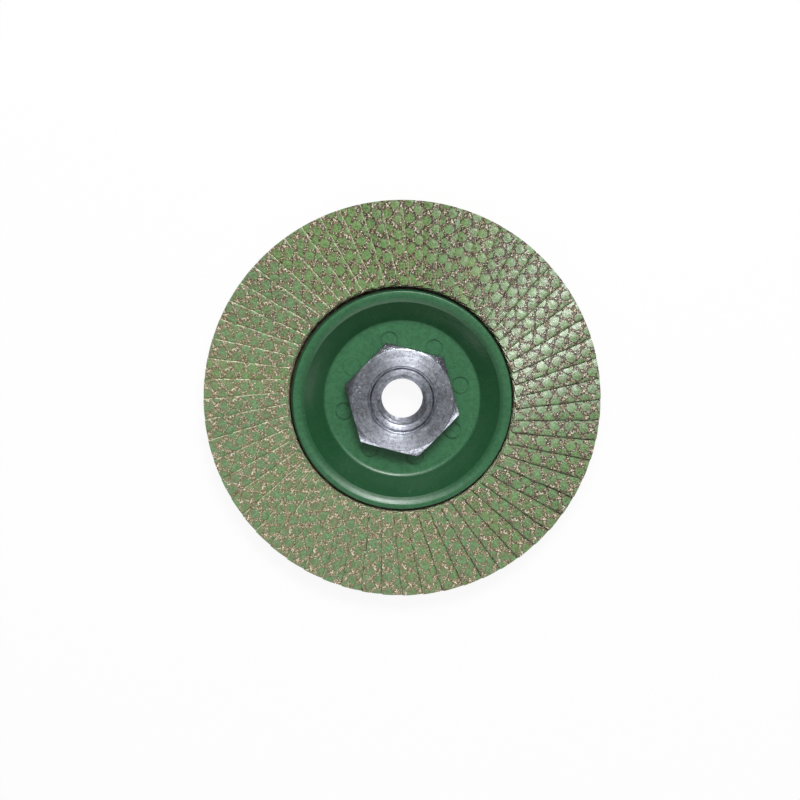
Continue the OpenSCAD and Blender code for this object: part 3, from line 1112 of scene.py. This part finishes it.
    @staticmethod
    def mark(plate, number):
        """One ejector pin mark, sunk and grooved or standing proud: (tool, boolean operation)."""
        turn = plate.mark_phase + number * TURN / plate.marks
        proud = (-0.1, -0.03, -0.08, 0.12, -0.06, -0.02, -0.09, -0.04)[number % 8] * MM
        floor, r, groove, low = plate.floor_z, plate.mark_r, 0.46 * MM, 0.45 * MM
        if proud > 0:
            profile = [(r, floor - low), (r, floor + 0.4 * proud), (r - 0.6 * proud, floor + proud)]
        else:
            inside = r - groove
            profile = [(r, floor + 1 * MM), (r, floor - low), (inside, floor - low), (inside, floor + proud)]
        count = 56
        rings = [[(pr * math.cos(a), pr * math.sin(a), pz) for a in even_angles(count)] for pr, pz in profile]
        points = np.array([p for ring in rings for p in ring])
        points = turned(points + np.array([plate.mark_circle_r, 0, 0]), turn)
        last = (len(profile) - 1) * count
        first, end = list(range(count)), [last + i for i in range(count - 1, -1, -1)]
        faces = [first, end]
        for k in range(len(profile) - 1):
            for i in range(count):
                j = (i + 1) % count
                faces.append([k * count + j, k * count + i, (k + 1) * count + i, (k + 1) * count + j])
        if proud > 0:
            faces = [face[::-1] for face in faces]
        return make_piece("mark", points, faces, []), "UNION" if proud > 0 else "DIFFERENCE"


class FLAPDISC_OT_hub_nut(bpy.types.Operator):
    """Makes the hub: hexagon, stepped recess, helical thread, keyed shank and swaged rear end"""

    bl_idname = "flap_disc.hub_nut"
    bl_label = "Hub nut"

    def execute(self, context):
        hub, plate = context.scene.hub_sizes, context.scene.plate_sizes
        angles = self.angles(hub)
        profile = np.array([self.section(hub, plate, a) for a in angles])
        verts, faces = ring_of(profile, angles)
        outside = profile[..., 0] > hub.hex_af / 2 - 0.14 * MM
        milled = (outside & np.roll(outside, -1, 1)).astype(int).ravel()
        piece = make_piece("threaded_hub_nut", verts, faces, steel_materials(hub), milled, smooth_angle=30)
        settle(piece, "zinc_plated_steel", "hub_nut")
        return {"FINISHED"}

    @staticmethod
    def arc_half_angle(across, radius):
        """Half the angle that a rounded corner of the hexagon takes up, seen from the axis."""
        centre = (across / 2 - radius) / math.cos(math.pi / 6)
        return math.atan2(radius / 2, centre + radius * math.cos(math.pi / 6))

    def angles(self, hub):
        """Angles of the mesh's spokes, closer together at the hexagon's corners."""
        arc = self.arc_half_angle(hub.hex_af, hub.corner_round)
        corner = np.linspace(-arc, arc, 5)
        side = np.linspace(arc, TURN / 6 - arc, 38)[1:-1]
        sixth = np.concatenate([corner, side])
        return np.concatenate([hub.hex_phase + k * TURN / 6 + sixth for k in range(6)])

    def hexagon_r(self, hub, turn, across, radius):
        """Distance from the axis to a round-cornered hexagon."""
        off = (turn - hub.hex_phase + TURN / 12) % (TURN / 6) - TURN / 12
        if abs(off) < self.arc_half_angle(across, radius):
            centre = (across / 2 - radius) / math.cos(math.pi / 6)
            return centre * math.cos(off) + math.sqrt(radius**2 - (centre * math.sin(off)) ** 2)
        return across / 2 / math.cos(math.pi / 6 - abs(off))

    def section(self, hub, plate, turn):
        """Closed (r, z) outline of the hub at one angle, with the same points at every angle."""
        top = plate.floor_z + hub.seat_h + hub.hex_h
        outer = self.hexagon_r(hub, turn, hub.hex_af, hub.corner_round)
        shank = self.hexagon_r(hub, turn, hub.shank_af, hub.corner_round)
        crown_r = hub.hex_af / 2 - 0.05 * MM
        fall = math.tan(math.radians(30))
        shoulder = top - (outer - crown_r) * fall
        base = plate.floor_z + hub.seat_h
        small = 0.2 * MM
        rim = crown_r - 0.1 * MM
        swage_inset, swage_z = 0.16 * MM, 0.12 * MM
        outside = [
            (hub.swage_r - swage_inset, swage_z, 0.1 * MM),
            (hub.collar_r, 1 * MM, 0),
            (hub.collar_r, hub.washer_t, 0),
            (shank, hub.washer_t, small),
            (shank, plate.floor_z, 0),
            (hub.seat_r, plate.floor_z, 0),
            (hub.seat_r, base, 0),
            (outer, base, small),
            (outer, shoulder, 0.1 * MM),
            (rim, top - 0.01 * MM, 0.15 * MM),
        ]
        mouth = hub.recess_r
        throat = mouth - 2.97 * MM
        outline = rounded([(hub.root_r, 0, 0)] + outside + [(mouth, top, 0)], steps=3, closed=False)[:-1]
        face = np.array([(rim - 0.3 * MM, top), (mouth + 0.28 * MM, top), (mouth, top)])
        floor = top - hub.recess_step
        bore_top = floor - 0.95 * MM
        recess = rounded(
            [
                (mouth, top, 0),
                (mouth - 0.12 * MM, top - 0.35 * MM, 0),
                (mouth - 0.26 * MM, top - 0.1 * MM, 0),
                (mouth - 0.5 * MM, top - 0.14 * MM, 0),
                (mouth - 0.78 * MM, floor - 0.6 * MM, 0),
                (mouth - 1.16 * MM, floor, 0.06 * MM),
                (mouth - 2.22 * MM, floor - 0.12 * MM, 1.5 * MM),
                (mouth - 2.67 * MM, floor - 0.3 * MM, 0.3 * MM),
                (throat, bore_top, 0),
            ],
            steps=3,
            closed=False,
        )[1:]
        z = np.linspace(bore_top, 0, 104)[1:-1]
        phase = (z / hub.thread_pitch - turn / TURN) % 1
        ramp_up = np.clip(np.minimum(phase, 1 - phase) * 2 * 1.35 - 0.12, 0, 1)
        thread = hub.bore_r + (hub.root_r - hub.bore_r) * ramp_up
        lead_in = np.maximum(throat - (bore_top - z) * 0.9, hub.root_r - z * 0.9 - 0.1 * MM)
        wall = np.stack([np.maximum(thread, lead_in), z], 1)
        return np.concatenate([outline, face, recess, wall])


class FLAPDISC_OT_clamp_washer(bpy.types.Operator):
    """Makes the steel washer behind the plate"""

    bl_idname = "flap_disc.clamp_washer"
    bl_label = "Clamp washer"

    def execute(self, context):
        hub = context.scene.hub_sizes
        gap = 0.04 * MM
        outline = rounded(
            [
                (hub.swage_r + gap, 0, 0.06 * MM),
                (hub.washer_r, 0, 0.4 * MM),
                (hub.washer_r, hub.washer_t, 0.4 * MM),
                (hub.collar_r + gap, hub.washer_t, 0.1 * MM),
                (hub.collar_r + gap, 1 * MM, 0),
            ]
        )
        verts, faces = ring_of(outline, even_angles(192))
        piece = make_piece("rear_clamp_washer", verts, faces, steel_materials(hub)[:1])
        settle(piece, "zinc_plated_steel", "clamp_washer")
        return {"FINISHED"}


class FLAPDISC_OT_adhesive_ring(bpy.types.Operator):
    """Makes the uneven bead of adhesive under the flaps"""

    bl_idname = "flap_disc.adhesive_ring"
    bl_label = "Adhesive"

    def execute(self, context):
        plate, sizes = context.scene.plate_sizes, context.scene.flap_sizes
        rng = np.random.default_rng(11)
        angles = even_angles(360)
        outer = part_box("adhesive_ring")[1][0] - 0.25 * MM
        inner = plate.lip_r + 0.03 * MM
        steps = np.linspace(0, 1, 24)
        waves = [(k, rng.uniform(0, TURN), rng.uniform(0.3, 1)) for k in (7, 13, 29, 60, 91)]
        wave = sum(size * np.sin(k * angles + shift) for k, shift, size in waves) / len(waves)
        profiles = []
        for a, swell in zip(angles, wave):
            edge = outer + 0.2 * MM * swell
            r = inner + (edge - inner) * steps
            bed = plate.bed_z - (r - plate.lip_r) * math.tan(sizes.fall) + 0.03 * MM
            thick = 0.68 * MM + 0.06 * MM * np.sin(steps * 40 + a * 24) + 0.04 * MM * swell
            thick = thick * np.sqrt(np.clip((1 - steps) * 12, 0.05, 1))
            upper = np.stack([r, bed + thick], 1)
            lower = np.stack([[edge, inner], [bed[-1], bed[0]]], 1)
            profiles.append(np.concatenate([lower[::-1], upper[::-1]]))
        verts, faces = ring_of(np.array(profiles), angles)
        piece = make_piece("adhesive_bead", verts, faces, [cured_adhesive(plate)])
        settle(piece, "epoxy", "adhesive_ring")
        return {"FINISHED"}


# Stage ---------------------------------------------------------------------------------------------


class FLAPDISC_OT_stage(bpy.types.Operator):
    """Makes the pale floor, the studio, its lights and the camera"""

    bl_idname = "flap_disc.stage"
    bl_label = "Stage"

    def execute(self, context):
        scene = context.scene
        settings = scene.stage_settings
        scene.view_settings.view_transform = "Standard"
        self.floor(settings)
        self.studio(scene, settings)
        self.lamp("key_light", settings.key_power, (0.75, 0.5), 0.9, 80, 32)
        self.lamp("key_core", settings.core_power, (0.26, 0.15), 0.85, 78, 33)
        self.lamp("fill_light", settings.fill_power, (0.8, 0.6), 0.9, 224, 40)
        card = self.lamp("low_card", settings.card_power, (3.4, 0.26), 0.75, 286, 59)
        card.visible_diffuse = False
        self.camera(scene, settings)
        return {"FINISHED"}

    @staticmethod
    def floor(settings):
        """A wide floor that the camera sees as nearly white, with the object's shadow on it."""
        low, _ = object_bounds()
        half = 3.0
        verts = [(-half, -half, low.z), (half, -half, low.z), (half, half, low.z), (-half, half, low.z)]
        material = bpy.data.materials.new("studio_floor")
        material.use_nodes = True
        tree = material.node_tree
        tree.nodes.clear()
        paper = put(tree, "ShaderNodeBsdfDiffuse", {"Color": (0.93, 0.93, 0.93, 1)})
        glow = put(tree, "ShaderNodeEmission", {"Color": (1, 1, 1, 1), "Strength": 1.0})
        path = put(tree, "ShaderNodeLightPath")
        seen = calc(tree, "MAXIMUM", path.outputs["Is Camera Ray"], path.outputs["Is Glossy Ray"])
        seen = calc(tree, "MAXIMUM", seen, path.outputs["Is Transmission Ray"])
        share = calc(tree, "MULTIPLY", seen, settings.floor_glow)
        mixed = put(tree, "ShaderNodeMixShader", {0: share, 1: paper.outputs[0], 2: glow.outputs[0]})
        end = put(tree, "ShaderNodeOutputMaterial")
        tree.links.new(mixed.outputs[0], end.inputs["Surface"])
        floor = make_piece("studio_floor", verts, [(0, 1, 2, 3)], [material])
        floor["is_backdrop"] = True

    @staticmethod
    def studio(scene, settings):
        """Dim walls and a paler ceiling."""
        world = bpy.data.worlds.new("studio")
        world.use_nodes = True
        scene.world = world
        tree = world.node_tree
        tree.nodes.clear()
        way = put(tree, "ShaderNodeTexCoord").outputs["Generated"]
        height = put(tree, "ShaderNodeSeparateXYZ", {"Vector": way}).outputs["Z"]
        strength = fade(tree, height, 0.1, 0.9, settings.walls, settings.overhead)
        path = put(tree, "ShaderNodeLightPath")
        clear = calc(tree, "MAXIMUM", path.outputs["Is Camera Ray"], path.outputs["Is Transmission Ray"])
        clear = calc(tree, "MULTIPLY", clear, fade(tree, height, 0.32, 0.22))
        gloss = calc(tree, "MULTIPLY", path.outputs["Is Glossy Ray"], fade(tree, height, 0.04, 0))
        strength = calc(tree, "MAXIMUM", strength, calc(tree, "MAXIMUM", clear, gloss))
        back = put(tree, "ShaderNodeBackground", {"Color": (1, 1, 1, 1), "Strength": strength})
        end = put(tree, "ShaderNodeOutputWorld")
        tree.links.new(back.outputs[0], end.inputs["Surface"])

    @staticmethod
    def lamp(name, power, size, distance, azimuth, zenith):
        """A soft light that faces the disc, placed by its angles in degrees."""
        data = bpy.data.lights.new(name, "AREA")
        data.energy = power
        data.shape = "RECTANGLE"
        data.size, data.size_y = size
        lamp = bpy.data.objects.new(name, data)
        a, t = math.radians(azimuth), math.radians(zenith)
        way = Vector((math.cos(a) * math.sin(t), math.sin(a) * math.sin(t), math.cos(t)))
        lamp.location = way * distance
        lamp.rotation_mode = "QUATERNION"
        lamp.rotation_quaternion = Quaternion(UP, a + TURN / 4) @ Quaternion((1, 0, 0), t)
        bpy.context.scene.collection.objects.link(lamp)
        return lamp

    @staticmethod
    def camera(scene, settings):
        """A long lens that looks down the disc's axis, a little tilted."""
        low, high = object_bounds()
        target = Vector((settings.aim_x, settings.aim_y, (low.z + high.z) / 2))
        back = Vector((0, math.sin(settings.tilt), math.cos(settings.tilt)))
        data = bpy.data.cameras.new("camera")
        data.lens = data.sensor_width * settings.distance / settings.width
        data.clip_start = 0.01
        camera = bpy.data.objects.new("camera", data)
        camera.location = target + back * settings.distance
        camera.rotation_euler = (-settings.tilt, 0, 0)
        scene.collection.objects.link(camera)
        scene.camera = camera


# Panel and running ---------------------------------------------------------------------------------


STEPS = (
    FLAPDISC_OT_stage,
    FLAPDISC_OT_backing_plate,
    FLAPDISC_OT_hub_nut,
    FLAPDISC_OT_clamp_washer,
    FLAPDISC_OT_adhesive_ring,
    FLAPDISC_OT_flaps,
)


class FLAPDISC_PT_panel(bpy.types.Panel):
    """Lists the disc's pieces and the stage"""

    bl_idname = "FLAPDISC_PT_panel"
    bl_label = "Flap disc"
    bl_space_type = "VIEW_3D"
    bl_region_type = "UI"
    bl_category = "Flap disc"

    def draw(self, context):
        for step in STEPS:
            self.layout.operator(step.bl_idname)


def register():
    """Adds the settings, operators and panel to Blender."""
    for group in GROUPS.values():
        bpy.utils.register_class(group)
    for name, group in GROUPS.items():
        setattr(bpy.types.Scene, name, PointerProperty(type=group))
    for item in (*STEPS, FLAPDISC_PT_panel):
        bpy.utils.register_class(item)


def unregister():
    """Takes the settings, operators and panel out of Blender."""
    for item in (FLAPDISC_PT_panel, *reversed(STEPS)):
        bpy.utils.unregister_class(item)
    for name in GROUPS:
        delattr(bpy.types.Scene, name)
    for group in reversed(GROUPS.values()):
        bpy.utils.unregister_class(group)


def main():
    """Builds everything in order."""
    register()
    for step in STEPS:
        group, name = step.bl_idname.split(".")
        getattr(getattr(bpy.ops, group), name)()


if __name__ == "__main__":
    main()
